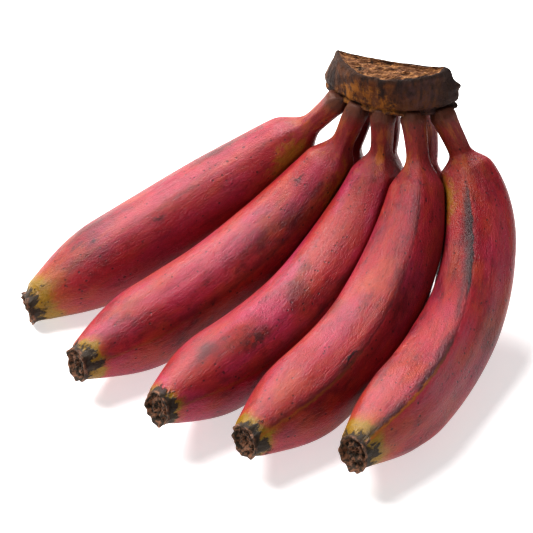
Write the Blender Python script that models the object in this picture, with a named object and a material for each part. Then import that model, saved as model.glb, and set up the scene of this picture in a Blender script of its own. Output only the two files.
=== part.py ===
"""A hand of red bananas lying on a table.

A cut crown holds a front row of five long fingers and a back row of three short ones. Each
finger is one solid, from its stalk to its dried blossom end. It leaves its seat under the
crown, bends towards the row's heading and comes to rest with its belly on the table.
Neighbours press each other flat where they meet, and keep a thin clearance.
"""

import math
from typing import NamedTuple

import bmesh
import bpy
import numpy as np
from mathutils import Vector

# Crown: the cut piece of stem that all the stalks grow from
CROWN_TOP = 0.112  # height of the cut face over the table
CROWN_WALL = 0.018  # height of the crown's side wall
CROWN_HALF_WIDTH = 0.027  # half the length of the cut face
CROWN_FRONT = 0.0215  # how far the cut face bulges to the front
CROWN_HOLLOW = 0.002  # how far its back edge bends in
CROWN_FLARE = 0.0045  # how far the wall's two ends lean out towards its lower rim
CROWN_TUCK = 0.0045  # how far the front of the wall leans in towards its lower rim
CROWN_HEEL = 0.0125  # how far the back of the wall leans out
CROWN_CORNER = 1.4  # how soon the cut face's ends turn round
CROWN_TURN = math.radians(-19)  # the cut face's long axis, from +X
CROWN_ASIDE = -0.0005  # how far the cut is off the middle of the seats
CROWN_SHAPE = ((0.0, 0.75), (0.25, 1.0), (0.55, 0.6), (0.93, 0.05), (1.0, 0.0))  # shares: height, lean
CROWN_SIDES = 40

# Fingers
GIRTH = 0.038  # thickness of a front finger at its middle
BACK_GIRTH = 0.029  # thickness of a back finger at its middle
STALK_RADIUS = 0.0051
ROOT_SWELL = 0.0024  # how much thicker the stalk is where it leaves the crown
ROOT_LENGTH = 0.006  # over which most of that is lost
BLOSSOM_RADIUS = 0.0077  # of the dried stub at the far end
STALK_LENGTH = 0.020  # from the crown to where the finger starts to swell
SWELL_LENGTH = 0.088  # from there to the full girth
ROUNDING = 0.5  # share of the swelling over which the stalk's high ridges sink
SHOULDER = 0.5  # below 1 the finger swells fast at first
NECK = 0.2  # share of the swelling over which the stalk bends out into the shoulder
TIP_LENGTH = 0.050  # over which the far end narrows
TIP_FULLNESS = 1.2  # below 1 the far end stays thick for longer
STRAIGHT = 0.016  # length of stalk that keeps its first direction
RIDGE = 0.022  # height of the skin's five ridges, as a share of the radius
STALK_RIDGE = 0.07  # the same on the stalk, which is more angular
RIDGES = 5
ROW_TURN = math.radians(-14)  # the line of the seats, from +X
ROW_HEADING = math.radians(234)  # where the middle of the front row points
SPLAY_REACH = 0.1  # depth below the crown at which a side splay is counted
FRONT_SEAT = 0.014  # the middle front stalk stands this far forward on the crown
SEAT_CURVE = 0.034  # half the chord over which the front seats fall back to the crown's axis

RIDGE_LEAN = 2.0  # slope of the direction that the first ridge faces, forward against up
LEAST_DIP, MOST_DIP = math.radians(-60), math.radians(80)  # of a far end below the horizontal
DIP_TRIES = 24
PRESS_TRIES = 12
SHARP = math.radians(50)  # edges sharper than this are shaded as edges

CLEARANCE = 0.0006  # between two pieces that touch
TABLE_SINK = 0.0004  # how far a belly is pressed flat by the table

SIDES = 20
STATIONS = 61  # points worked out along each centre line
RINGS = 30  # rings of skin along each finger


class Finger(NamedTuple):
    name: str
    seat: float  # place along the crown, as a share of its half width
    splay: float  # sideways lean of the stalk, in girths over SPLAY_REACH
    lean: float  # forward lean of the stalk, degrees
    spread: float  # sideways turn of the far end, in girths over its length
    length: float
    bend: float  # 1 bends evenly; more bends early, near the stalk
    girth: float = GIRTH
    set_back: float = 0.0  # how far behind the crown's axis a back seat lies
    stalk_length: float = STALK_LENGTH
    swell: float = SWELL_LENGTH


FRONT_ROW = (
    Finger("banana_front_1", -0.81, -1.90, -19.0, -1.60, 0.1925, 2.8, 1.04 * GIRTH, stalk_length=0.024,
           swell=0.100),
    Finger("banana_front_2", -0.49, -0.86, -2.0, -0.54, 0.206, 2.6),
    Finger("banana_front_3", -0.06, 0.01, 1.0, 0.06, 0.220, 2.9, swell=0.070),
    Finger("banana_front_4", 0.44, 0.61, 21.0, 0.05, 0.212, 2.3, 1.02 * GIRTH),
    Finger("banana_front_5", 0.87, 1.52, 7.0, 0.54, 0.223, 2.4, 0.97 * GIRTH, stalk_length=0.022,
           swell=0.044),
)
BACK_ROW = (
    Finger("banana_back_1", -0.40, -0.86, -16.0, -0.30, 0.108, 2.0, BACK_GIRTH, 0.001, stalk_length=0.034),
    Finger("banana_back_2", -0.08, 0.06, -14.0, 0.00, 0.110, 2.0, BACK_GIRTH, 0.001, stalk_length=0.033),
    Finger("banana_back_3", 0.45, 0.62, -12.0, 0.30, 0.108, 2.0, BACK_GIRTH, 0.002, stalk_length=0.036),
)

SKIN = (0.42, 0.055, 0.065)
BARK = (0.13, 0.07, 0.035)


# Directions and places

def axes(turn):
    """A level axis turned from +X, and the axis in front of it."""
    return Vector((math.cos(turn), math.sin(turn), 0)), Vector((math.sin(turn), -math.cos(turn), 0))


def seat_of(finger):
    """Where a finger's stalk leaves the crown's underside."""
    along, forward = axes(ROW_TURN)
    aside = finger.seat * CROWN_HALF_WIDTH
    ahead = -finger.set_back or FRONT_SEAT * (1 - (aside / SEAT_CURVE) ** 2)
    height = CROWN_TOP - CROWN_WALL - CLEARANCE
    return along * aside + forward * ahead + Vector((0, 0, height))


def stalk_direction(finger):
    along, forward = axes(ROW_TURN)
    aside = finger.splay * finger.girth / SPLAY_REACH
    ahead = math.tan(math.radians(finger.lean))
    return (along * aside + forward * ahead + Vector((0, 0, -1))).normalized()


def tip_direction(finger, dip):
    """The far end's heading, dip radians below the horizontal."""
    heading = ROW_HEADING + math.atan(finger.spread * finger.girth / finger.length)
    level = math.cos(dip)
    return Vector((math.cos(heading) * level, math.sin(heading) * level, -math.sin(dip)))


def ease(share):
    share = min(max(share, 0), 1)
    return share * share * (3 - 2 * share)


def radius_at(finger, run):
    """A finger's mean radius at a run along its centre line."""
    body = finger.girth / 2
    swell = finger.swell * finger.length / FRONT_ROW[2].length
    grown = min(max((run - finger.stalk_length) / swell, 0), 1)
    swollen = math.sin(grown * math.pi / 2) ** SHOULDER * ease(grown / NECK)
    stalk = STALK_RADIUS + ROOT_SWELL * math.exp(-run / ROOT_LENGTH)
    radius = stalk + (body - stalk) * swollen
    left = min(max((finger.length - run) / TIP_LENGTH, 0), 1)
    end = math.sin(left * math.pi / 2) ** TIP_FULLNESS
    return BLOSSOM_RADIUS + (radius - BLOSSOM_RADIUS) * end if run > finger.length / 2 else radius


def centre_line(finger, dip):
    """Points and headings along a finger, from its seat to its blossom end."""
    start, finish = stalk_direction(finger), tip_direction(finger, dip)
    turn = start.angle(finish)
    step = finger.length / (STATIONS - 1)
    place, points, headings = seat_of(finger), [], []
    for index in range(STATIONS):
        run = index * step
        left = min(1, (finger.length - run) / (finger.length - STRAIGHT))
        bent = 1 - max(left, 0) ** finger.bend
        heading = start * math.sin((1 - bent) * turn) + finish * math.sin(bent * turn)
        headings.append(heading.normalized())
        if index:
            place = place + (headings[-1] + headings[-2]).normalized() * step
        points.append(place)
    return points, headings


def lowest(finger, dip):
    """Height over the table of the lowest skin of a finger."""
    points, headings = centre_line(finger, dip)
    step = finger.length / (STATIONS - 1)
    heights = []
    for index, (point, heading) in enumerate(zip(points, headings)):
        side = math.sqrt(max(1 - heading.z ** 2, 0))
        heights.append(point.z - radius_at(finger, index * step) * side)
    return min(heights)


def resting_line(finger):
    """The centre line whose dip lets the finger's belly rest on the table."""
    high, low = LEAST_DIP, MOST_DIP
    for _ in range(DIP_TRIES):
        dip = (high + low) / 2
        if lowest(finger, dip) > -TABLE_SINK:
            high = dip
        else:
            low = dip
    return centre_line(finger, high)


# Skin

def free_space(point, line, radii):
    """Distance from a point to the free skin around a centre line."""
    return float((np.linalg.norm(line - point, axis=1) - radii).min())


def pressed(centre, outward, reach, radius, neighbours):
    """Length of a spoke from the centre, cut short where a neighbour presses on it."""
    def room(length):
        point = np.array(centre + outward * length)
        return min(free_space(point, *other) for other in neighbours) - (length - radius)

    if room(reach) >= CLEARANCE:
        return reach
    short, long = 0.0, reach
    for _ in range(PRESS_TRIES):
        middle = (short + long) / 2
        if room(middle) >= CLEARANCE:
            short = middle
        else:
            long = middle
    return short


def ring_spokes(heading, level):
    """Unit spokes around a heading; level turns the first ring flat against the crown."""
    normal = heading.lerp(Vector((0, 0, -1)), level).normalized()
    up = (Vector((0, 0, 1)) + axes(ROW_TURN)[1] * RIDGE_LEAN).normalized()
    first = (up - normal * up.dot(normal)).normalized()
    second = normal.cross(first)
    turns = (math.tau * index / SIDES for index in range(SIDES))
    return [first * math.cos(turn) + second * math.sin(turn) for turn in turns]


def skin_rings(finger, line, neighbours):
    """Rings of skin points along a finger, from its seat to its blossom end."""
    points, headings = line
    rings = []
    for index in range(RINGS):
        share = index / (RINGS - 1)
        place = share * (STATIONS - 1)
        before = min(int(place), STATIONS - 2)
        centre = points[before].lerp(points[before + 1], place - before)
        heading = headings[before].lerp(headings[before + 1], place - before).normalized()
        run = share * finger.length
        radius = radius_at(finger, run)
        stalk = 1 - ease((run - finger.stalk_length) / (SWELL_LENGTH * ROUNDING))
        ridge = RIDGE + (STALK_RIDGE - RIDGE) * stalk
        ring = []
        for corner, spoke in enumerate(ring_spokes(heading, 1.0 if index == 0 else 0.0)):
            wave = math.cos(RIDGES * math.tau * corner / SIDES)
            reach = pressed(centre, spoke, radius * (1 + ridge * wave), radius, neighbours)
            point = centre + spoke * reach
            point.z = min(max(point.z, 0), points[0].z)
            ring.append(point)
        rings.append(ring)
    return rings


def solid_through(rings):
    """A closed solid through rings of points, grown by extruding its open rim."""
    shape = bmesh.new()
    rim = bmesh.ops.create_circle(shape, cap_ends=True, segments=len(rings[0]), radius=1)["verts"]
    for vertex, point in zip(rim, rings[0]):
        vertex.co = point
    edges = [edge for edge in shape.edges if len(edge.link_faces) <= 1]
    for ring in rings[1:]:
        grown = bmesh.ops.extrude_edge_only(shape, edges=edges)["geom"]
        fresh = {item for item in grown if isinstance(item, bmesh.types.BMVert)}
        rim = [
            next(edge.other_vert(vertex) for edge in vertex.link_edges if edge.other_vert(vertex) in fresh)
            for vertex in rim
        ]
        for vertex, point in zip(rim, ring):
            vertex.co = point
        edges = [item for item in grown if isinstance(item, bmesh.types.BMEdge)]
    bmesh.ops.contextual_create(shape, geom=edges)
    bmesh.ops.recalc_face_normals(shape, faces=shape.faces)
    return shape


# Crown

def crown_ring(height, flare, tuck, heel):
    """The crown's outline at a height: its ends flared, its front tucked in, its back out."""
    along, forward = axes(CROWN_TURN)
    middle = axes(ROW_TURN)[0] * CROWN_ASIDE + Vector((0, 0, height))
    ring = []
    for index in range(CROWN_SIDES):
        turn = math.tau * index / CROWN_SIDES
        bulge = abs(math.sin(turn)) ** CROWN_CORNER
        reach = CROWN_FRONT - tuck if math.sin(turn) > 0 else CROWN_HOLLOW - heel
        aside = (CROWN_HALF_WIDTH + flare) * math.cos(turn)
        ring.append(middle + along * aside + forward * reach * bulge)
    return ring


def crown_rings():
    """Rings from the crown's underside up its wall to the cut face."""
    return [
        crown_ring(
            CROWN_TOP - CROWN_WALL * (1 - share),
            CROWN_FLARE * lean, CROWN_TUCK * (1 - share), CROWN_HEEL * lean,
        )
        for share, lean in CROWN_SHAPE
    ]


# Scene

def clear_scene():
    for thing in list(bpy.data.objects):
        bpy.data.objects.remove(thing, do_unlink=True)


def material(name, colour, roughness):
    surface = bpy.data.materials.new(name)
    surface.use_nodes = True
    shader = surface.node_tree.nodes["Principled BSDF"]
    shader.inputs["Base Color"].default_value = (*colour, 1)
    shader.inputs["Roughness"].default_value = roughness
    shader.inputs["Metallic"].default_value = 0
    return surface


def add_piece(name, shape, surface, parent):
    mesh = bpy.data.meshes.new(name)
    shape.to_mesh(mesh)
    shape.free()
    mesh.shade_smooth()
    mesh.set_sharp_from_angle(angle=SHARP)
    mesh.materials.append(surface)
    piece = bpy.data.objects.new(name, mesh)
    piece.parent = parent
    bpy.context.scene.collection.objects.link(piece)
    return piece


def table_centre(pieces):
    """The point on the table under the middle of all the pieces' box."""
    corners = np.array([vertex.co for piece in pieces for vertex in piece.data.vertices])
    middle = (corners.min(axis=0) + corners.max(axis=0)) / 2
    return Vector((middle[0], middle[1], 0))


def main():
    clear_scene()
    hand = bpy.data.objects.new("hand", None)
    bpy.context.scene.collection.objects.link(hand)
    fingers = FRONT_ROW + BACK_ROW
    lines = {finger.name: resting_line(finger) for finger in fingers}
    spaces = {}
    for finger in fingers:
        step = finger.length / (STATIONS - 1)
        radii = np.array([radius_at(finger, index * step) for index in range(STATIONS)])
        spaces[finger.name] = (np.array(lines[finger.name][0]), radii)
    pieces = [add_piece("crown", solid_through(crown_rings()), material("crown_bark", BARK, 0.85), hand)]
    for finger in fingers:
        others = [space for name, space in spaces.items() if name != finger.name]
        rings = skin_rings(finger, lines[finger.name], others)
        skin = material(f"{finger.name}_skin", SKIN, 0.42)
        pieces.append(add_piece(finger.name, solid_through(rings), skin, hand))
    hand.location = -table_centre(pieces)


main()
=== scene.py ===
"""Looks for a hand of red bananas: grown skin, dried blossom ends and a cut, fibrous crown.

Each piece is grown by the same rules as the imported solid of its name, with finer relief on top,
and stands in for that solid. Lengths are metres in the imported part's frame: Z is up from the
table, and the fingers' tips point to -Y.
"""

import math
from typing import NamedTuple

import bmesh
import bpy
import numpy as np
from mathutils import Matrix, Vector, noise


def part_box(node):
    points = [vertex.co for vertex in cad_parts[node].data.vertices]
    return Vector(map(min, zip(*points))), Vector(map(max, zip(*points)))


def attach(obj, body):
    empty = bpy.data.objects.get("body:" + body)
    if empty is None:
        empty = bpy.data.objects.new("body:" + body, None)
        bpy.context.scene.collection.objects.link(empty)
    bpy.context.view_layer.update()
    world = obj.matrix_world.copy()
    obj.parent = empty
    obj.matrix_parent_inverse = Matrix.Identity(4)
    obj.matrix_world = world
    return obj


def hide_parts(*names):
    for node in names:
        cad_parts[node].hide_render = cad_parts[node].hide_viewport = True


bl_info = {
    "name": "Hand of Red Bananas",
    "version": (1, 0, 0),
    "blender": (4, 5, 0),
    "location": "View3D > Sidebar > Bananas",
    "description": "Grows a hand of red bananas with its crown, skins and studio",
    "category": "Add Mesh",
}

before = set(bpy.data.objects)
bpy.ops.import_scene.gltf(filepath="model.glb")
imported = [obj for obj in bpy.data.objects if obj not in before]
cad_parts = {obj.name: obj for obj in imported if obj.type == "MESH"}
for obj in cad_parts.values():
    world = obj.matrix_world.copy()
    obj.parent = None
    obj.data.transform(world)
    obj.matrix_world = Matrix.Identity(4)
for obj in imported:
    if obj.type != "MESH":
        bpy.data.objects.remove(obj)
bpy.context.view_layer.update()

# Crown, as packed
CROWN_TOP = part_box("crown")[1].z
CROWN_WALL = CROWN_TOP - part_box("crown")[0].z
CROWN_HALF_WIDTH = 0.027
CROWN_FRONT = 0.0215
CROWN_HOLLOW = 0.002
CROWN_FLARE = 0.0045
CROWN_TUCK = 0.0045
CROWN_HEEL = 0.0125
CROWN_CORNER = 1.4
CROWN_TURN = math.radians(-19)
CROWN_ASIDE = -0.0005
CROWN_SHARES = (0.0, 0.25, 0.55, 0.93, 1.0)  # heights on the wall
CROWN_LEANS = (0.75, 1.0, 0.6, 0.05, 0.0)  # how much of the flare the wall has there

# Fingers, as packed
GIRTH = 0.038
BACK_GIRTH = 0.029
STALK_RADIUS = 0.0051
ROOT_SWELL = 0.0024
ROOT_LENGTH = 0.006
BLOSSOM_RADIUS = 0.0077
STALK_LENGTH = 0.020
SWELL_LENGTH = 0.088
SHOULDER = 0.5
NECK = 0.2
TIP_LENGTH = 0.050
TIP_FULLNESS = 1.2
STRAIGHT = 0.016
RIDGES = 5
RIDGE_LEAN = 2  # how far the first spoke leans to the front, against up
ROW_TURN = math.radians(-14)
ROW_HEADING = math.radians(234)
SPLAY_REACH = 0.1
FRONT_SEAT = 0.014
SEAT_CURVE = 0.034
MIDDLE_LENGTH = 0.220
CLEARANCE = 0.0006
TABLE_SINK = 0.0004
LEAST_DIP = math.radians(-60)
MOST_DIP = math.radians(80)
DIP_TRIES = 24

# Skin relief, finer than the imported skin's
STALK_RIDGE = 0.045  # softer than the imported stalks' ridges
TIP_RIDGE = 0.35  # share of the ridges' height that is left at the tip
LUMP_SIZE = 0.020
FINE_LUMP_SIZE = 0.008
FINE_LUMPS = 0.005  # height of the fine lumps, as a share of the radius
ROOT_ROUND = 0.38  # how far a stalk's top rounds in under the crown's lip
ROOT_ROUND_LENGTH = 0.0026
ROOT_SINK = CLEARANCE * 2  # how far a stalk's top is raised into the crown

# Mesh density
STATIONS = 241
SIDES = 64
RING_STEP = 0.0016
CROWN_SIDES = 192
PRESS_TRIES = 14
FIT = 0.004  # a grown piece may leave its packed box by this much

# Blossom end: distance behind the tip's plane and radius, from the body into the cup
STUB_START = 0.0072
STUB = (
    (0.0072, 0.0095),
    (0.0060, 0.0090),
    (0.0048, 0.0085),
    (0.0037, 0.0080),
    (0.0027, 0.0077),
    (0.0018, 0.0077),
    (0.0010, 0.0080),
    (0.0004, 0.0081),
    (0.0001, 0.0078),
    (0.0003, 0.0073),
    (0.0011, 0.0069),
    (0.0023, 0.0064),
    (0.0031, 0.0057),
    (0.0030, 0.0050),
    (0.0019, 0.0044),
    (0.0014, 0.0038),
    (0.0020, 0.0031),
    (0.0030, 0.0024),
    (0.0033, 0.0014),
    (0.0030, 0.0006),
)
STUB_SLANT = 0.30  # slope of the cup's plane, its far side set back
STUB_RIM = 7  # the ring of the stub that stands out furthest
STUB_TEAR = 0.0011  # height of the rim's ragged lips
STUB_FOLD = 0.0016  # height of the folds in the cup

# Crown's underside and lip: height over the underside, growth, and scale about the middle
CROWN_LIP = (
    (0.0012, 0.0, 0.01),
    (0.0010, 0.0, 0.40),
    (0.0006, 0.0, 0.75),
    (0.0, -0.0020, 1),
    (-0.0020, -0.0009, 1),
    (-0.0024, 0.0003, 1),
    (-0.0016, 0.0012, 1),
    (-0.0006, 0.0013, 1),
    (0.0002, -0.0002, 1),
    (0.0010, -0.0003, 1),
    (0.0017, 0.0006, 1),
    (0.0025, 0.0009, 1),
    (0.0035, 0.0006, 1),
)
LIP_TOP = 0.004
WALL_START = 0.0044
WALL_END = 0.0012  # under the wall's rim
WALL_RINGS = 24
CUT_RINGS = 26
CUT_DEPTH = 0.0013  # how far the cut face lies under the wall's rim, and inside it
WART_ASIDE = CROWN_HALF_WIDTH + 0.003
WART_HEIGHT = 0.0095
WART_SIZE = 0.0021
WART_RISE = 0.0026

# Studio
FLOOR_RADIUS = 6
FLOOR_SIDES = 96
KEY_PLACE = Vector((-0.25, 1.05, 1.00))
KEY_SIZE = 0.60
KEY_TINT = (1, 0.985, 0.97)
SIDE_PLACE = Vector((-0.85, 0.20, 1.55))
SIDE_SIZE = 1.10
SIDE_TINT = (1, 0.98, 0.96)
SENSOR_WIDTH = 36
CAMERA_ASIDE = -0.0582  # the camera's aim against the crown's middle
CAMERA_DROP = -0.0018


class Finger(NamedTuple):
    """How one finger grows, as packed, and what is particular to its skin."""

    name: str
    seat: float
    splay: float
    lean: float
    spread: float
    length: float
    bend: float
    girth: float = GIRTH
    set_back: float = 0.0
    stalk_length: float = STALK_LENGTH
    swell: float = SWELL_LENGTH
    ridge: float = 0.022  # height of the skin's ridges, as a share of the radius
    roll: float = 0.0  # turn of the ridges, degrees; 0 sets one to the front
    pink: float = 0.5  # how far the skin leans from brick red to rose
    green: float = 0.0045  # length of the olive skin at the tip
    seed: int = 1


FRONT_ROW = (
    Finger("banana_front_1", -0.81, -1.90, -19.0, -1.60, 0.1925, 2.8, 1.04 * GIRTH,
           stalk_length=0.024, swell=0.100, ridge=0.010, roll=20, pink=0.45, green=0.0105, seed=11),
    Finger("banana_front_2", -0.49, -0.86, -2.0, -0.54, 0.206, 2.6,
           ridge=0.018, roll=-26, pink=0.6, seed=23),
    Finger("banana_front_3", -0.06, 0.01, 1.0, 0.06, 0.220, 2.9, swell=0.070,
           ridge=0.020, roll=-30, pink=0.95, seed=35),
    Finger("banana_front_4", 0.44, 0.61, 21.0, 0.05, 0.212, 2.3, 1.02 * GIRTH,
           ridge=0.032, roll=-14, pink=0.5, seed=47),
    Finger("banana_front_5", 0.87, 1.52, 7.0, 0.54, 0.223, 2.4, 0.97 * GIRTH, stalk_length=0.022,
           swell=0.044, ridge=0.050, roll=-2, pink=0.4, green=0.0095, seed=59),
)
BACK_ROW = (
    Finger("banana_back_1", -0.40, -0.86, -16.0, -0.30, 0.108, 2.0, BACK_GIRTH, 0.001,
           stalk_length=0.034, roll=8, seed=61),
    Finger("banana_back_2", -0.08, 0.06, -14.0, 0.00, 0.110, 2.0, BACK_GIRTH, 0.001,
           stalk_length=0.033, roll=15, seed=73),
    Finger("banana_back_3", 0.45, 0.62, -12.0, 0.30, 0.108, 2.0, BACK_GIRTH, 0.002,
           stalk_length=0.036, roll=3, seed=85),
)


class Mark(NamedTuple):
    """A patch on a finger's skin, placed by its run from the crown and its turn from the front."""

    finger: int
    tint: str  # the name of a colour of the skin's look
    run: float  # share of the finger's length
    turn: float  # degrees from the front, positive to the upper left
    long: float  # half length, metres
    wide: float  # half width, metres
    strength: float = 1.0


FRESH = ("olive", "amber")  # the tints that are painted under the skin's fibres
MARKS = (
    Mark(1, "olive", 0.22, -50, 0.018, 0.012, 0.9),
    Mark(1, "bruise_and_shade", 0.83, 45, 0.005, 0.0020, 0.9),
    Mark(1, "bruise_and_shade", 0.79, 32, 0.004, 0.0020, 0.9),
    Mark(1, "bruise_and_shade", 0.62, 10, 0.006, 0.0025, 0.7),
    Mark(2, "olive", 0.22, -75, 0.024, 0.012, 1.0),
    Mark(2, "bruise_and_shade", 0.24, 25, 0.007, 0.004, 0.8),
    Mark(3, "amber", 0.11, -10, 0.011, 0.0025, 0.8),
    Mark(3, "bruise_and_shade", 0.74, 5, 0.014, 0.006, 0.8),
    Mark(4, "bruise_and_shade", 0.16, -20, 0.005, 0.0025, 0.9),
    Mark(4, "bruise_and_shade", 0.70, -8, 0.014, 0.0032, 1.0),
    Mark(5, "olive", 0.21, 52, 0.020, 0.011, 0.9),
    Mark(5, "bruise_and_shade", 0.50, 38, 0.005, 0.0025, 0.8),
)


# Sizes and colours that can be changed


def colour_property(name, description, default):
    return bpy.props.FloatVectorProperty(
        name=name, description=description, default=default,
        subtype="COLOR", size=3, min=0, max=1,
    )


def number_property(name, description, default, **settings):
    return bpy.props.FloatProperty(
        name=name, description=description, default=default, **settings
    )


class SkinLook(bpy.types.PropertyGroup):
    """Colours and relief of the fingers' skin."""

    deep: colour_property(
        "Deep red", "Shaded red under the skin's other tints", (0.095, 0.0040, 0.0080)
    )
    bright: colour_property("Bright red", "Main red of the skin", (0.285, 0.0145, 0.0235))
    rose: colour_property("Rose", "Pinkish bloom on the skin", (0.330, 0.024, 0.070))
    brick: colour_property("Brick", "Orange-red of the sunny side", (0.330, 0.044, 0.016))
    olive: colour_property(
        "Olive", "Green-yellow that is left at the necks and tips", (0.23, 0.130, 0.003)
    )
    amber: colour_property(
        "Amber", "Orange-yellow between the red and the olive", (0.32, 0.088, 0.009)
    )
    stalk: colour_property("Stalk", "Dull red-brown of the stalks", (0.170, 0.017, 0.012))
    husk: colour_property(
        "Husk", "Brown skin where the stalks leave the crown", (0.075, 0.024, 0.009)
    )
    # Real bruises, specks and worn ridge lines, and also the painted shade beside the front ridge
    bruise_and_shade: colour_property(
        "Bruise", "Dark purple-grey of bruises and worn ridges", (0.016, 0.006, 0.009)
    )
    black: colour_property("Black", "Blackened skin round the blossom end", (0.013, 0.008, 0.007))
    copper: colour_property("Copper", "Dried lips of the blossom end", (0.20, 0.088, 0.046))
    roughness: number_property("Roughness", "Middle roughness of the waxy skin", 0.36, min=0, max=1)
    gloss: number_property("Gloss", "Strength of the skin's waxy reflections", 0.36, min=0, max=1)
    lumps: number_property("Lumps", "Slow swelling of the skin, as a share of the radius", 0.014)
    fibre_depth: number_property(
        "Fibre depth", "Height of the skin's fine fibres", 0.00016, unit="LENGTH"
    )


class CrownLook(bpy.types.PropertyGroup):
    """Colours and relief of the cut crown."""

    bark: colour_property("Bark", "Main brown of the wall", (0.120, 0.042, 0.014))
    soot: colour_property("Soot", "Blackened streaks on the wall", (0.020, 0.011, 0.009))
    ochre: colour_property("Ochre", "Yellow-brown blotches on the wall", (0.27, 0.105, 0.016))
    plum: colour_property("Plum", "Purple-grey of the wall's right side", (0.075, 0.034, 0.032))
    straw: colour_property("Straw", "Torn pale fibres of the cut face", (0.66, 0.320, 0.125))
    rust: colour_property("Rust", "Brown between the torn fibres", (0.17, 0.062, 0.023))
    groove_depth: number_property(
        "Groove depth", "Depth of the wall's upright grooves", 0.0005, unit="LENGTH"
    )
    lump_height: number_property("Lump height", "Height of the wall's lumps", 0.0011, unit="LENGTH")
    tear_height: number_property(
        "Tear height", "Height of the torn fibres on the cut", 0.0016, unit="LENGTH"
    )


class StudioLook(bpy.types.PropertyGroup):
    """Floor, light and camera."""

    floor: colour_property("Floor", "Colour of the plain floor", (0.80, 0.80, 0.80))
    glow: number_property("Floor glow", "Light that the floor gives off", 0.62)
    sky: number_property("Sky", "Strength of the white surroundings", 0.16)
    key: number_property(
        "Key light", "Power of the large soft light behind the hand", 21.0, unit="POWER"
    )
    side: number_property("Side light", "Power of the light at the upper left", 44.0, unit="POWER")
    elevation: number_property(
        "Elevation", "Camera's height over the horizon", math.radians(32.95), subtype="ANGLE"
    )
    distance: number_property("Distance", "Camera's distance", 1.3, unit="LENGTH")
    lens: number_property("Lens", "Focal length in millimetres", 182.2)


# Growth, as packed


def axes(turn):
    """A level axis turned from +X, and the axis in front of it."""
    return Vector((math.cos(turn), math.sin(turn), 0)), Vector((math.sin(turn), -math.cos(turn), 0))


def crown_outline(share, growth=0.0):
    """The crown's outline at a share of its height, about its own centre, grown outwards."""
    along, forward = (np.array(axis) for axis in axes(CROWN_TURN))
    middle = np.array(axes(ROW_TURN)[0]) * CROWN_ASIDE
    turns = np.arange(CROWN_SIDES) * math.tau / CROWN_SIDES
    bulge = np.abs(np.sin(turns)) ** CROWN_CORNER
    lean = np.interp(share, CROWN_SHARES, CROWN_LEANS)
    front = CROWN_FRONT - CROWN_TUCK * (1 - share) + growth
    back = CROWN_HOLLOW - CROWN_HEEL * lean - growth
    ahead = np.where(np.sin(turns) > 0, front, back) * bulge
    aside = (CROWN_HALF_WIDTH + CROWN_FLARE * lean + growth) * np.cos(turns)
    return middle + np.outer(aside, along) + np.outer(ahead, forward)


def hand_place():
    """Where the crown's own centre stands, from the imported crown's box."""
    low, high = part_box("crown")
    outline = np.concatenate([crown_outline(share) for share in CROWN_SHARES])
    middle = (outline.min(axis=0) + outline.max(axis=0)) / 2
    return Vector(((low.x + high.x) / 2 - middle[0], (low.y + high.y) / 2 - middle[1], 0))


HAND = hand_place()
CROWN_ACROSS = HAND.dot(axes(CROWN_TURN)[0])  # the crown's middle along its own long axis


def seat_of(finger):
    along, forward = axes(ROW_TURN)
    aside = finger.seat * CROWN_HALF_WIDTH
    ahead = -finger.set_back or FRONT_SEAT * (1 - (aside / SEAT_CURVE) ** 2)
    height = CROWN_TOP - CROWN_WALL - CLEARANCE
    return HAND + along * aside + forward * ahead + Vector((0, 0, height))


def stalk_direction(finger):
    along, forward = axes(ROW_TURN)
    aside = finger.splay * finger.girth / SPLAY_REACH
    ahead = math.tan(math.radians(finger.lean))
    return (along * aside + forward * ahead + Vector((0, 0, -1))).normalized()


def tip_direction(finger, dip):
    heading = ROW_HEADING + math.atan(finger.spread * finger.girth / finger.length)
    level = math.cos(dip)
    return Vector((math.cos(heading) * level, math.sin(heading) * level, -math.sin(dip)))


def ease(share):
    share = np.clip(share, 0, 1)
    return share * share * (3 - 2 * share)


def radius_at(finger, run):
    """Mean radii at runs along a finger's centre line."""
    body = finger.girth / 2
    swell = finger.swell * finger.length / MIDDLE_LENGTH
    grown = np.clip((run - finger.stalk_length) / swell, 0, 1)
    swollen = np.sin(grown * math.pi / 2) ** SHOULDER * ease(grown / NECK)
    stalk = STALK_RADIUS + ROOT_SWELL * np.exp(-run / ROOT_LENGTH)
    radius = stalk + (body - stalk) * swollen
    end = np.sin(np.clip((finger.length - run) / TIP_LENGTH, 0, 1) * math.pi / 2) ** TIP_FULLNESS
    drawn_in = BLOSSOM_RADIUS + (radius - BLOSSOM_RADIUS) * end
    return np.where(run > finger.length / 2, drawn_in, radius)


def unit(rows):
    return rows / np.linalg.norm(rows, axis=-1, keepdims=True)


def between(runs, known_runs, rows):
    """Rows of three numbers, read off at other runs."""
    return np.column_stack([np.interp(runs, known_runs, rows[:, axis]) for axis in range(3)])


class Line(NamedTuple):
    """A finger's centre line: runs from the crown, points, headings and mean radii."""

    runs: np.ndarray
    points: np.ndarray
    headings: np.ndarray
    radii: np.ndarray


def centre_line(finger, dip):
    start, finish = stalk_direction(finger), tip_direction(finger, dip)
    turn = start.angle(finish)
    runs = np.linspace(0, finger.length, STATIONS)
    left = np.clip((finger.length - runs) / (finger.length - STRAIGHT), 0, 1)
    bent = 1 - left ** finger.bend
    before, after = np.sin((1 - bent) * turn), np.sin(bent * turn)
    headings = unit(np.outer(before, start) + np.outer(after, finish))
    steps = unit(headings[1:] + headings[:-1]) * runs[1]
    points = np.array(seat_of(finger)) + np.vstack([np.zeros(3), np.cumsum(steps, axis=0)])
    return Line(runs, points, headings, radius_at(finger, runs))


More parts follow.
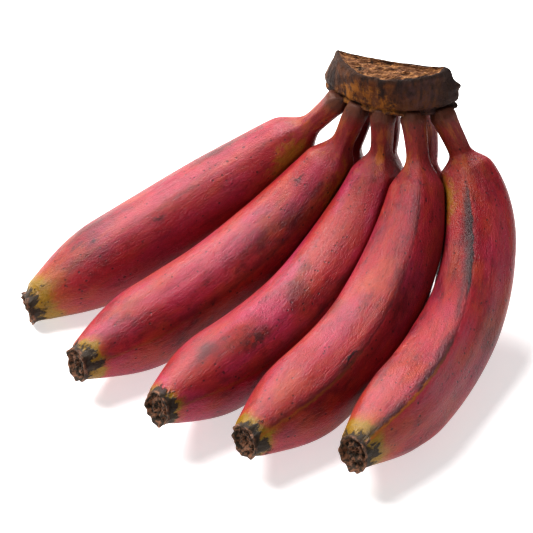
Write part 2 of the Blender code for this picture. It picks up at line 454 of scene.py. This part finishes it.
def resting_line(finger):
    """The centre line whose dip lets the finger's belly rest on the table."""
    high, low = LEAST_DIP, MOST_DIP
    for _ in range(DIP_TRIES):
        dip = (high + low) / 2
        line = centre_line(finger, dip)
        belly = line.points[:, 2] - line.radii * np.sqrt(1 - line.headings[:, 2] ** 2)
        if belly.min() > -TABLE_SINK:
            high = dip
        else:
            low = dip
    return centre_line(finger, high)


# Skin mesh


def spoke_fans(headings):
    """Unit spokes round each heading, the first one towards the front and up."""
    up = np.array((Vector((0, 0, 1)) + axes(ROW_TURN)[1] * RIDGE_LEAN).normalized())
    first = unit(up - headings * (headings @ up)[:, None])
    second = np.cross(headings, first)
    turns = np.arange(SIDES) * math.tau / SIDES
    return first[:, None] * np.cos(turns)[:, None] + second[:, None] * np.sin(turns)[:, None]


def free_space(points, others):
    """Distance from points to the nearest free skin of the other fingers."""
    nearest = np.full(len(points), np.inf)
    for line in others:
        square = (points ** 2).sum(1)[:, None] + (line.points ** 2).sum(1)
        square = square - 2 * points @ line.points.T
        nearest = np.minimum(nearest, (np.sqrt(np.maximum(square, 0)) - line.radii).min(axis=1))
    return nearest


def pressed(centres, spokes, reach, radii, others):
    """Reaches cut short where a neighbour presses on the skin."""
    reach = reach.copy()
    tight = free_space(centres + spokes * reach[:, None], others) - (reach - radii) < CLEARANCE
    centres, spokes, radii = centres[tight], spokes[tight], radii[tight]
    short, long = np.zeros(len(radii)), reach[tight]
    for _ in range(PRESS_TRIES):
        middle = (short + long) / 2
        space = free_space(centres + spokes * middle[:, None], others)
        room = space - (middle - radii) >= CLEARANCE
        short, long = np.where(room, middle, short), np.where(room, long, middle)
    reach[tight] = short
    return reach


def ridge_wave(finger):
    """The section's wave round the ridges, from -1 to 1, at each spoke."""
    turns = np.arange(SIDES) * math.tau / SIDES - math.radians(finger.roll)
    return 0.7 * np.cos(RIDGES * turns) + 0.3 * np.cos(2 * RIDGES * turns)


def noise_at(x, y, z):
    return noise.noise(Vector((x, y, z)))


def slow_noise(finger, straight, size):
    """Smooth noise from -1 to 1 over the skin's straightened points."""
    offset = Vector((finger.seed, finger.seed * 0.37, 0))
    return np.array([noise.noise(Vector(point / size) + offset) for point in straight])


class Skin(NamedTuple):
    """Rings of skin: points, straightened points and dryness."""

    points: np.ndarray
    straight: np.ndarray
    dry: np.ndarray


def body_skin(finger, line, others, look):
    """Rings from the crown to where the blossom end starts."""
    runs = np.linspace(0, finger.length - STUB_START, round(finger.length / RING_STEP))
    centres = between(runs, line.runs, line.points)
    headings = unit(between(runs, line.runs, line.headings))
    headings[0] = (0, 0, -1)
    centres[0] += (0, 0, ROOT_SINK)
    radii = radius_at(finger, runs)
    spokes = spoke_fans(headings)
    turns = np.arange(SIDES) * math.tau / SIDES
    wave = ridge_wave(finger)
    stalk = 1 - ease((runs - finger.stalk_length) / SWELL_LENGTH * 2)
    tail = ease((finger.length - runs) / TIP_LENGTH)
    height = finger.ridge + (STALK_RIDGE - finger.ridge) * stalk
    height = height * (TIP_RIDGE + (1 - TIP_RIDGE) * tail)
    across, aside = np.outer(radii, np.cos(turns)), np.outer(radii, np.sin(turns))
    straight = np.stack([across, aside, np.outer(runs, np.ones(SIDES))], axis=-1)
    stretched = straight.reshape(-1, 3) * (1, 1, 0.5)
    lumps = slow_noise(finger, stretched, LUMP_SIZE) * look.lumps
    lumps = lumps + slow_noise(finger, stretched, FINE_LUMP_SIZE) * FINE_LUMPS
    share = 1 + np.outer(height, wave) + lumps.reshape(len(runs), SIDES)
    share *= 1 - ROOT_ROUND * np.exp(-((runs / ROOT_ROUND_LENGTH) ** 2))[:, None]
    middles = np.repeat(centres, SIDES, axis=0)
    fans = spokes.reshape(-1, 3)
    reach = (radii[:, None] * share).reshape(-1)
    reach = pressed(middles, fans, reach, np.repeat(radii, SIDES), others)
    points = middles + fans * reach[:, None]
    points[:, 2] = np.clip(points[:, 2], 0, centres[0][2])
    shape = (len(runs), SIDES)
    return Skin(points.reshape(*shape, 3), straight, np.zeros(shape))


def stub_skin(finger, line):
    """Rings of the dried stub: its neck, ragged rim and the cup inside."""
    turns = np.arange(SIDES) * math.tau / SIDES
    tip, heading = line.points[-1], line.headings[-1]
    side = unit(np.cross(heading, (0, 0, 1)))
    fan = spoke_fans(heading[None])[0]
    points, straight, dry = [], [], []
    for ring, (behind, radius) in enumerate(STUB):
        inside = max(ring - STUB_RIM, 0)
        ragged = ease((ring + 1) / STUB_RIM)
        ring_points = []
        for turn, spoke in zip(turns, fan):
            place = Vector((math.cos(turn), math.sin(turn), finger.seed * 0.61))
            lobes = noise.noise(place * 1.1) + 0.55 * noise.noise(place * 2.9)
            folds = noise_at(place.x * 3.2, place.y * 3.2, finger.seed + ring * 0.35)
            reach = radius * (1 + ragged * (0.12 * lobes + 0.08 * folds))
            lift = ragged * STUB_TEAR * (lobes + folds) if inside < 3 else STUB_FOLD * folds
            lift -= ragged * STUB_SLANT * reach * spoke.dot(side)
            run = finger.length - behind + lift
            ring_points.append(tip + heading * (lift - behind) + spoke * reach)
            straight.append((reach * math.cos(turn), reach * math.sin(turn), run))
        points.append(ring_points)
        dry.append([float(ease((ring - 1) / (STUB_RIM - 1)))] * SIDES)
    shape = (len(STUB), SIDES)
    points = np.array(points)
    points[:, :, 2] = np.maximum(points[:, :, 2], 0)
    return Skin(points, np.array(straight).reshape(*shape, 3), np.array(dry))


def solid_through(points, tags):
    """A closed bmesh through rings of points, grown by extruding its open rim.

    Each tag's values go to a layer of the tag's name, one value for each point.
    """
    shape = bmesh.new()
    kinds = shape.verts.layers
    layers = {
        name: (kinds.float_vector if values.ndim == 3 else kinds.float).new(name)
        for name, values in tags.items()
    }
    sides = points.shape[1]
    rim = bmesh.ops.create_circle(shape, cap_ends=True, segments=sides, radius=1)["verts"]
    edges = [edge for edge in shape.edges if len(edge.link_faces) <= 1]
    for ring, row in enumerate(points):
        if ring:
            made = bmesh.ops.extrude_edge_only(shape, edges=edges)["geom"]
            fresh = {item for item in made if isinstance(item, bmesh.types.BMVert)}
            rim = [
                next(end for edge in old.link_edges if (end := edge.other_vert(old)) in fresh)
                for old in rim
            ]
            edges = [item for item in made if isinstance(item, bmesh.types.BMEdge)]
        for side, vertex in enumerate(rim):
            vertex.co = row[side]
            for name, layer in layers.items():
                value = tags[name][ring][side]
                vertex[layer] = Vector(value) if value.ndim else value
    bmesh.ops.contextual_create(shape, geom=edges)
    bmesh.ops.recalc_face_normals(shape, faces=shape.faces)
    return shape


def finish_piece(name, shape, surface):
    """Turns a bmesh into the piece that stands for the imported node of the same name."""
    mesh = bpy.data.meshes.new(name)
    shape.to_mesh(mesh)
    shape.free()
    mesh.shade_smooth()
    mesh.materials.append(surface)
    piece = bpy.data.objects.new(f"{name}_look", mesh)
    bpy.context.scene.collection.objects.link(piece)
    smoothing = piece.modifiers.new("Subdivision", "SUBSURF")
    smoothing.levels = 1
    smoothing.render_levels = 1
    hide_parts(name)
    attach(piece, "root")


def check_fit(name, points):
    """Raises an error where a grown piece has left its packed box."""
    low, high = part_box(name)
    reach = points.reshape(-1, 3)
    below, above = np.array(low) - reach.min(axis=0), reach.max(axis=0) - np.array(high)
    over = max(below.max(), above.max())
    if over > FIT:
        raise RuntimeError(f"{name} leaves its packed box by {over * 1000:.1f} mm")


# Crown mesh


def crown_profile():
    """Rings: height over the underside, growth, scale about the middle, and 1 in the cut."""
    rings = [(*ring, 0) for ring in CROWN_LIP]
    wall = np.linspace(WALL_START, CROWN_WALL - WALL_END, WALL_RINGS)
    rings += [(height, 0.0004, 1, 0) for height in wall]
    rings += [(CROWN_WALL - 0.0005, 0.0, 1, 0), (CROWN_WALL, -0.0006, 1, 0)]
    rings += [(CROWN_WALL, -CUT_DEPTH, 1, 0.2)]
    for scale in np.linspace(0.95, 0.03, CUT_RINGS):
        height = CROWN_WALL - CUT_DEPTH * ease((0.97 - scale) / 0.10)
        rings.append((height, -CUT_DEPTH, scale, 1))
    return rings


def crown_relief(look, across, height, cut):
    """How far a spot on the crown is pushed outwards and lifted by fibres, lumps and tears."""
    push, lift = 0.0, 0.0
    x, y = across.x, across.y
    if cut < 1:
        fibres = noise_at(x * 420, y * 420, height * 60)
        fine = noise_at(x * 900, y * 900, height * 160)
        lump = noise.noise(across * 105) + 0.5 * noise.noise(across * 240)
        push = look.groove_depth * (fibres + 0.5 * fine) + look.lump_height * lump
        if height < LIP_TOP:
            edge = noise_at(x * 130, y * 130, 3.1)
            crumble = noise_at(x * 600, y * 600, 7.7)
            lift = 0.0012 * edge + 0.0006 * crumble
        wart = math.hypot(x - WART_ASIDE, height - WART_HEIGHT)
        push += WART_RISE * math.exp(-((wart / WART_SIZE) ** 2))
    if cut > 0:
        torn = noise_at(x * 130, y * 520, 1.7)
        chips = noise_at(x * 420, y * 760, 9.2)
        broad = noise_at(x * 75, y * 150, 4.4)
        lift += cut * look.tear_height * (0.8 * torn + 0.6 * chips + 0.7 * broad)
    return push, lift


def crown_points(look):
    """Points of every crown ring with its relief, and how far each lies in the cut."""
    along, forward = axes(CROWN_TURN)
    middle = np.array(forward) * (CROWN_FRONT + CROWN_HOLLOW) / 2
    low = CROWN_TOP - CROWN_WALL
    rings, cuts = [], []
    for height, growth, scale, cut in crown_profile():
        outline = crown_outline(max(height, 0) / CROWN_WALL, growth)
        outward = unit(outline - middle)
        ring = middle + (outline - middle) * scale
        points = []
        for spot, out in zip(ring, outward):
            place = Vector(spot)
            across = Vector((place.dot(along), place.dot(forward), height))
            push, lift = crown_relief(look, across, height, cut)
            rise = Vector((0, 0, low + height + lift))
            points.append(HAND + place + Vector(out) * push + rise)
        rings.append(points)
        cuts.append([cut] * CROWN_SIDES)
    return np.array(rings), np.array(cuts)


# Shader nodes


class Value:
    """A number on a socket that adds its Math node when an expression uses it."""

    def __init__(self, socket):
        self.socket = socket

    def maths(self, operation, first, second):
        node = self.socket.id_data.nodes.new("ShaderNodeMath")
        node.operation = operation
        plug(node.inputs[0], first)
        plug(node.inputs[1], second)
        return Value(node.outputs[0])

    def __add__(self, other):
        return self.maths("ADD", self, other)

    def __radd__(self, other):
        return self.maths("ADD", other, self)

    def __sub__(self, other):
        return self.maths("SUBTRACT", self, other)

    def __rsub__(self, other):
        return self.maths("SUBTRACT", other, self)

    def __mul__(self, other):
        return self.maths("MULTIPLY", self, other)

    def __truediv__(self, other):
        return self.maths("DIVIDE", self, other)

    def __or__(self, other):
        return self.maths("MAXIMUM", self, other)


def plug(socket, value):
    """Feeds a node's input with a number, a colour, or another node's output."""
    if isinstance(value, Value):
        value = value.socket
    if isinstance(value, bpy.types.NodeSocket):
        socket.id_data.links.new(value, socket)
    elif socket.type == "RGBA" and len(value) == 3:
        socket.default_value = (*value, 1)
    else:
        socket.default_value = value


class Paint:
    """A material that is grown one node at a time."""

    def __init__(self, name):
        self.material = bpy.data.materials.new(name)
        self.material.use_nodes = True
        self.tree = self.material.node_tree
        self.shader = self.tree.nodes["Principled BSDF"]

    def node(self, kind, settings, inputs):
        """Adds a node: its settings come first, then its sockets' values or links."""
        made = self.tree.nodes.new(kind)
        for name, value in settings.items():
            setattr(made, name, value)
        for name, value in inputs.items():
            plug(made.inputs[name], value)
        return made

    def attribute(self, name, output):
        settings = {"attribute_type": "GEOMETRY", "attribute_name": name}
        return self.node("ShaderNodeAttribute", settings, {}).outputs[output]

    def place(self):
        return self.node("ShaderNodeTexCoord", {}, {}).outputs["Object"]

    def parts(self, vector):
        split = self.node("ShaderNodeSeparateXYZ", {}, {"Vector": vector})
        return [Value(split.outputs[axis]) for axis in ("X", "Y", "Z")]

    def stretch(self, vector, scale, shift=(0, 0, 0), turn=0.0):
        inputs = {"Vector": vector, "Location": shift, "Rotation": (0, 0, turn), "Scale": scale}
        return self.node("ShaderNodeMapping", {"vector_type": "POINT"}, inputs).outputs["Vector"]

    def noise(self, vector, scale, detail=2.0, roughness=0.5, distortion=0.0):
        inputs = {
            "Vector": vector, "Scale": scale, "Detail": detail, "Roughness": roughness,
            "Distortion": distortion,
        }
        made = self.node("ShaderNodeTexNoise", {"noise_dimensions": "3D"}, inputs)
        return Value(made.outputs["Fac"])

    def streaks(self, vector, along, scale, detail=3, roughness=0.5, shift=(0, 0, 0)):
        """Noise that is drawn out along Z, the more so the nearer along is to 0."""
        return self.noise(self.stretch(vector, (1, 1, along), shift), scale, detail, roughness)

    def cells(self, vector, scale):
        """Distance to the nearest point of a random scatter, and a number for each cell."""
        inputs = {"Vector": vector, "Scale": scale}
        made = self.node("ShaderNodeTexVoronoi", {"feature": "F1"}, inputs)
        return Value(made.outputs["Distance"]), self.parts(made.outputs["Color"])[0]

    def step(self, value, low, high):
        """0 below low, 1 above high and smooth between; low may lie above high."""
        settings = {"interpolation_type": "SMOOTHSTEP", "clamp": True}
        start, finish = 0.0, 1.0
        if low > high:
            low, high, start, finish = high, low, finish, start
        inputs = {
            "Value": value, "From Min": low, "From Max": high, "To Min": start, "To Max": finish,
        }
        return Value(self.node("ShaderNodeMapRange", settings, inputs).outputs["Result"])

    def blend(self, first, second, share):
        settings = {"data_type": "RGBA", "clamp_factor": True}
        return self.node("ShaderNodeMix", settings, {0: share, 6: first, 7: second}).outputs[2]

    def dim(self, colour, share):
        """A colour multiplied by a number."""
        inputs = {"Vector": colour, "Scale": share}
        return self.node("ShaderNodeVectorMath", {"operation": "SCALE"}, inputs).outputs["Vector"]

    def spot(self, vector, centre, size):
        """Distance from a centre, counted in the half sizes of an egg-shaped patch."""
        scale = tuple(1 / side for side in size)
        shift = tuple(-place / side for place, side in zip(centre, size))
        made = self.stretch(vector, scale, shift)
        length = self.node("ShaderNodeVectorMath", {"operation": "LENGTH"}, {"Vector": made})
        return Value(length.outputs["Value"])

    def finish(self, colour, roughness, height, depth):
        inputs = {"Strength": 1.0, "Distance": depth, "Height": height}
        bump = self.node("ShaderNodeBump", {}, inputs)
        plug(self.shader.inputs["Base Color"], colour)
        plug(self.shader.inputs["Roughness"], roughness)
        plug(self.shader.inputs["Normal"], bump.outputs["Normal"])
        return self.material


# Materials


def mark_mask(paint, finger, mark, grown, ragged):
    """A soft patch on the skin with an edge broken up by noise."""
    run = mark.run * finger.length
    radius = float(radius_at(finger, np.array(run)))
    turn = math.radians(mark.turn)
    centre = (radius * math.cos(turn), radius * math.sin(turn), run)
    away = paint.spot(grown, centre, (mark.wide, mark.wide, mark.long))
    return paint.step(away + (ragged - 0.5) * 1.2, 1.1, 0.2) * mark.strength


def ridge_masks(paint, finger, grown, ragged):
    """The thin line along the front ridge, and a band of painted shade on its upper left."""
    x, y, _ = paint.parts(grown)
    roll = math.radians(finger.roll)
    aside = y * math.cos(roll) - x * math.sin(roll) + (ragged - 0.5) * 0.0030
    front = paint.step(x * math.cos(roll) + y * math.sin(roll), 0.0, 0.004)
    line = paint.step(aside, -0.0012, -0.0002) * paint.step(aside, 0.0010, 0.0) * front
    # The band of painted shade beside the ridge, on its upper left side
    painted_ridge_shade = paint.step(aside, -0.0010, 0.0008) * paint.step(aside, 0.0052, 0.0010) * front
    return line, painted_ridge_shade


def skin_paint(finger, marks, look):
    """Waxy red skin with streaks, fibres, specks, bruises and olive ends."""
    paint = Paint(f"{finger.name}_skin")
    grown = paint.attribute("grown", "Vector")
    dry = Value(paint.attribute("dry", "Fac"))
    run = paint.parts(grown)[2]
    end = finger.length - run
    shift = (finger.seed * 0.31, finger.seed * 0.17, finger.seed * 0.23)

    broad = paint.streaks(grown, 0.35, 50, 2, shift=shift)
    warm = paint.streaks(grown, 0.45, 85, 3, 0.6, shift[::-1])
    rosy = paint.streaks(grown, 0.30, 75, shift=(shift[1], shift[2], 0))
    mottle = paint.streaks(grown, 0.6, 230, 4, 0.65, shift)
    streak = paint.streaks(grown, 0.10, 480, 4, 0.6, shift)
    fibre = paint.streaks(grown, 0.16, 1500, 3, 0.7, shift)
    grain = paint.streaks(grown, 0.6, 1500, 3, 0.7, shift)
    ragged = paint.streaks(grown, 0.5, 380, 4, 0.65, shift)

    lit = paint.step(broad + (mottle - 0.5) * 0.4, 0.28, 0.54)
    sunny = paint.step(warm, 0.42, 0.64) * (0.95 - 0.6 * finger.pink)
    bloom = paint.step(rosy, 0.42, 0.64) * (0.20 + 0.7 * finger.pink)
    colour = paint.blend(look.deep, look.bright, lit)
    colour = paint.blend(colour, look.brick, sunny)
    colour = paint.blend(colour, look.rose, bloom)
    colour = paint.blend(colour, look.deep, paint.step(mottle, 0.48, 0.28) * 0.35)
    colour = paint.blend(colour, look.deep, paint.step(streak, 0.50, 0.32) * 0.35)
    colour = paint.blend(colour, look.brick, paint.step(streak, 0.55, 0.74) * 0.35)

    neck = paint.step(run + (ragged - 0.5) * 0.016, 0.046, 0.016)
    ochre = paint.streaks(grown, 0.22, 260, 3, 0.6, shift)
    root = paint.step(run + (ragged - 0.5) * 0.010, 0.012, 0.002)
    colour = paint.blend(colour, look.stalk, neck * 0.7)
    colour = paint.blend(colour, look.amber, neck * paint.step(ochre, 0.50, 0.66) * 0.6)
    colour = paint.blend(colour, look.husk, root * 0.9)

    tip = (end - 0.004 + (ragged - 0.5) * 0.008 + (broad - 0.5) * 0.020) / finger.green
    colour = paint.blend(colour, look.amber, paint.step(tip, 1.8, 0.6) * 0.6)
    colour = paint.blend(colour, look.olive, paint.step(tip, 1.0, 0.4) * 0.95)

    for mark in marks:
        if mark.tint in FRESH:
            mask = mark_mask(paint, finger, mark, grown, ragged)
            colour = paint.blend(colour, look.amber, paint.step(mask, 0.0, 0.5) * 0.6)
            colour = paint.blend(colour, getattr(look, mark.tint), mask * 0.9)

    colour = paint.dim(colour, 0.25 + fibre * 0.80 + grain * 0.70)
    line, painted_ridge_shade = ridge_masks(paint, finger, grown, ragged)
    patchy = paint.step(paint.streaks(grown, 0.2, 110, shift=shift), 0.36, 0.56)
    ridged = paint.step(run, 0.026, 0.052) * min(1.0, finger.ridge * 20)
    # Painted shade: a dark band beside the front ridge, where the ridge is sharp enough
    colour = paint.blend(colour, look.bruise_and_shade, painted_ridge_shade * patchy * 0.85 * ridged)
    colour = paint.blend(colour, look.bruise_and_shade, line * ridged * (0.35 + patchy * 0.6))
    colour = paint.blend(colour, look.amber, line * ridged * paint.step(end, 0.085, 0.03) * 0.8)

    gap, chance = paint.cells(paint.stretch(grown, (1, 1, 0.7), shift), 420)
    specks = paint.step(gap, 0.26, 0.12) * paint.step(chance, 0.66, 0.70)
    colour = paint.blend(colour, look.bruise_and_shade, specks * 0.75)
    worn_spots = paint.streaks(grown, 0.45, 420, 4, 0.7, shift[::-1])
    colour = paint.blend(colour, look.bruise_and_shade, paint.step(worn_spots, 0.64, 0.72) * 0.65)
    for mark in marks:
        if mark.tint not in FRESH:
            mask = mark_mask(paint, finger, mark, grown, ragged) * paint.step(ragged, 0.44, 0.54)
            colour = paint.blend(colour, getattr(look, mark.tint), mask)

    blotch = paint.streaks(grown, 0.35, 300, 4, 0.65, shift)
    burnt = paint.step((0.0052 - end) / 0.010 + (blotch - 0.5) * 2.9, -0.08, 0.20)
    burnt = burnt | paint.step(dry, 0.2, 0.7)
    colour = paint.blend(colour, look.black, burnt * 0.94)
    lips = paint.step(dry, 0.6, 1.0) * paint.step(paint.noise(grown, 420, 4, 0.65), 0.44, 0.60)
    colour = paint.blend(colour, look.copper, lips)

    roughness = look.roughness + (fibre - 0.5) * 0.22 + (mottle - 0.5) * 0.16
    roughness = roughness + burnt * 0.28 + neck * 0.14
    height = fibre * 0.5 + streak * 0.25 + grain * 0.7
    height = height + ragged * (0.5 + burnt * 1.5) - specks * 0.2
    plug(paint.shader.inputs["Specular IOR Level"], look.gloss)
    return paint.finish(colour, roughness, height, look.fibre_depth * 3)


def bark_paint(look):
    """Dry brown wall with upright fibres, and a torn straw-coloured cut."""
    paint = Paint("crown_bark_look")
    place = paint.place()
    cut = Value(paint.attribute("cut", "Fac"))
    upright = paint.stretch(place, (1, 1, 0.22), turn=-CROWN_TURN)
    fibres = paint.noise(upright, 900, 4, 0.7, 0.4)
    bands = paint.noise(upright, 260, 4, 0.65)
    blotch = paint.streaks(place, 0.7, 330, 5, 0.7)
    patch = paint.streaks(place, 0.7, 90, 3, 0.6)
    height_share = (paint.parts(place)[2] - (CROWN_TOP - CROWN_WALL)) / CROWN_WALL
    aside = paint.parts(paint.stretch(place, (1, 1, 1), turn=-CROWN_TURN))[0] - CROWN_ACROSS

    wall = paint.blend(look.bark, look.soot, paint.step(bands, 0.46, 0.64) * 0.9)
    ochre = paint.step(blotch + (patch - 0.5) * 0.8, 0.46, 0.66)
    ochre = ochre * paint.step(height_share, 0.95, 0.55) * paint.step(aside, 0.020, 0.004)
    wall = paint.blend(wall, look.ochre, ochre)
    wall = paint.blend(wall, look.soot, paint.step(patch, 0.48, 0.34) * 0.8)
    plum = paint.step(aside, 0.004, 0.014) * paint.step(blotch, 0.40, 0.56)
    wall = paint.blend(wall, look.plum, plum * 0.7)
    # Darker towards the wall's right end
    wall = paint.blend(wall, look.soot, paint.step(aside, 0.022, 0.027) * 0.7)
    wall = paint.dim(wall, 0.05 + fibres * 1.1 + blotch * 1.0)
    wall = paint.blend(wall, look.soot, paint.step(height_share, 0.84, 1.0) * 0.7)

    grainwise = paint.stretch(place, (0.40, 1, 1), turn=-CROWN_TURN)
    torn = paint.noise(grainwise, 760, 5, 0.75, 0.8)
    chips = paint.noise(paint.stretch(place, (0.5, 1, 1), turn=-CROWN_TURN), 480, 3, 0.7, 0.8)
    face = paint.blend(look.rust, look.straw, paint.step(torn, 0.42, 0.62))
    face = paint.blend(face, look.soot, paint.step(chips, 0.48, 0.34) * 0.85)
    face = paint.dim(face, 0.45 + chips * 1.0)
    face = paint.blend(face, look.rust, paint.step(patch, 0.48, 0.60) * 0.6)

    inside = paint.step(cut + (chips - 0.5) * 0.25, 0.45, 0.75)
    colour = paint.blend(wall, face, inside)
    relief = fibres * 0.8 + bands * 0.5 + blotch * 0.9
    relief = relief * (1 - inside) + (torn * 1.3 + chips * 1.3) * inside
    plug(paint.shader.inputs["Specular IOR Level"], 0.3)
    return paint.finish(colour, 0.74 + (blotch - 0.5) * 0.4, relief, 0.0020)


def floor_paint(look):
    paint = Paint("studio_floor")
    plug(paint.shader.inputs["Base Color"], tuple(look.floor))
    plug(paint.shader.inputs["Roughness"], 0.9)
    plug(paint.shader.inputs["Specular IOR Level"], 0.1)
    plug(paint.shader.inputs["Emission Color"], tuple(look.floor))
    plug(paint.shader.inputs["Emission Strength"], look.glow)
    return paint.material


# Operators


def grow_row(row, look):
    """Grows a row's fingers against all the others and gives each its skin."""
    lines = {finger.name: resting_line(finger) for finger in FRONT_ROW + BACK_ROW}
    for finger in row:
        line = lines[finger.name]
        others = [other for name, other in lines.items() if name != finger.name]
        body, stub = body_skin(finger, line, others, look), stub_skin(finger, line)
        skin = Skin(*(np.concatenate(pair) for pair in zip(body, stub)))
        check_fit(finger.name, skin.points)
        marks = [mark for mark in MARKS if finger is FRONT_ROW[mark.finger - 1]]
        shape = solid_through(skin.points, {"grown": skin.straight, "dry": skin.dry})
        finish_piece(finger.name, shape, skin_paint(finger, marks, look))


class BANANA_OT_crown(bpy.types.Operator):
    """Makes the cut crown that the stalks grow from"""

    bl_idname = "banana.crown"
    bl_label = "Crown"

    def execute(self, context):
        look = context.scene.banana_crown
        points, cuts = crown_points(look)
        check_fit("crown", points)
        shape = solid_through(points, {"cut": cuts})
        finish_piece("crown", shape, bark_paint(look))
        return {"FINISHED"}


class BANANA_OT_front_row(bpy.types.Operator):
    """Grows the five long fingers of the front row"""

    bl_idname = "banana.front_row"
    bl_label = "Front row"

    def execute(self, context):
        grow_row(FRONT_ROW, context.scene.banana_skin)
        return {"FINISHED"}


class BANANA_OT_back_row(bpy.types.Operator):
    """Grows the three short fingers tucked behind the necks"""

    bl_idname = "banana.back_row"
    bl_label = "Back row"

    def execute(self, context):
        grow_row(BACK_ROW, context.scene.banana_skin)
        return {"FINISHED"}


def add_light(name, place, target, size, power, tint):
    lamp = bpy.data.lights.new(name, "AREA")
    lamp.shape = "DISK"
    lamp.size = size
    lamp.energy = power
    lamp.color = tint
    holder = bpy.data.objects.new(name, lamp)
    holder.location = place
    holder.rotation_euler = (target - place).to_track_quat("-Z", "Y").to_euler()
    bpy.context.scene.collection.objects.link(holder)


class BANANA_OT_studio(bpy.types.Operator):
    """Sets out the pale floor, the soft light and the camera"""

    bl_idname = "banana.studio"
    bl_label = "Studio"

    def execute(self, context):
        look = context.scene.banana_studio
        shape = bmesh.new()
        bmesh.ops.create_circle(shape, cap_ends=True, segments=FLOOR_SIDES, radius=FLOOR_RADIUS)
        mesh = bpy.data.meshes.new("floor")
        shape.to_mesh(mesh)
        shape.free()
        mesh.materials.append(floor_paint(look))
        floor = bpy.data.objects.new("floor", mesh)
        context.scene.collection.objects.link(floor)

        world = bpy.data.worlds.new("studio")
        world.use_nodes = True
        surroundings = world.node_tree.nodes["Background"].inputs
        plug(surroundings["Color"], (1, 1, 1))
        plug(surroundings["Strength"], look.sky)
        context.scene.world = world
        context.scene.view_settings.view_transform = "Standard"
        context.scene.view_settings.look = "Medium High Contrast"

        target = Vector((0, 0, CROWN_TOP / 3))
        add_light("key", KEY_PLACE, target, KEY_SIZE, look.key, KEY_TINT)
        add_light("side", SIDE_PLACE, target, SIDE_SIZE, look.side, SIDE_TINT)

        camera = bpy.data.cameras.new("camera")
        camera.sensor_width = SENSOR_WIDTH
        camera.lens = look.lens
        camera.clip_start = 0.01
        aim = HAND + Vector((CAMERA_ASIDE, 0, CAMERA_DROP))
        back = Vector((0, -math.cos(look.elevation), math.sin(look.elevation)))
        holder = bpy.data.objects.new("camera", camera)
        holder.location = aim + back * look.distance
        holder.rotation_euler = (-back).to_track_quat("-Z", "Y").to_euler()
        context.scene.collection.objects.link(holder)
        context.scene.camera = holder
        return {"FINISHED"}


class BANANA_PT_sidebar(bpy.types.Panel):
    """Lists the looks and the steps that grow the hand"""

    bl_idname = "BANANA_PT_sidebar"
    bl_label = "Hand of Red Bananas"
    bl_space_type = "VIEW_3D"
    bl_region_type = "UI"
    bl_category = "Bananas"

    def draw(self, context):
        for group, look in LOOKS.items():
            column = self.layout.column()
            for name in look.__annotations__:
                column.prop(getattr(context.scene, group), name)
        for operator in STEPS:
            self.layout.operator(operator.bl_idname)


LOOKS = {"banana_skin": SkinLook, "banana_crown": CrownLook, "banana_studio": StudioLook}
STEPS = (BANANA_OT_crown, BANANA_OT_front_row, BANANA_OT_back_row, BANANA_OT_studio)


def register():
    for thing in (*LOOKS.values(), *STEPS, BANANA_PT_sidebar):
        bpy.utils.register_class(thing)
    for name, look in LOOKS.items():
        setattr(bpy.types.Scene, name, bpy.props.PointerProperty(type=look))


def unregister():
    for name in LOOKS:
        delattr(bpy.types.Scene, name)
    for thing in (BANANA_PT_sidebar, *STEPS, *LOOKS.values()):
        bpy.utils.unregister_class(thing)


def main():
    register()
    bpy.ops.banana.crown()
    bpy.ops.banana.front_row()
    bpy.ops.banana.back_row()
    bpy.ops.banana.studio()


if __name__ == "__main__":
    main()
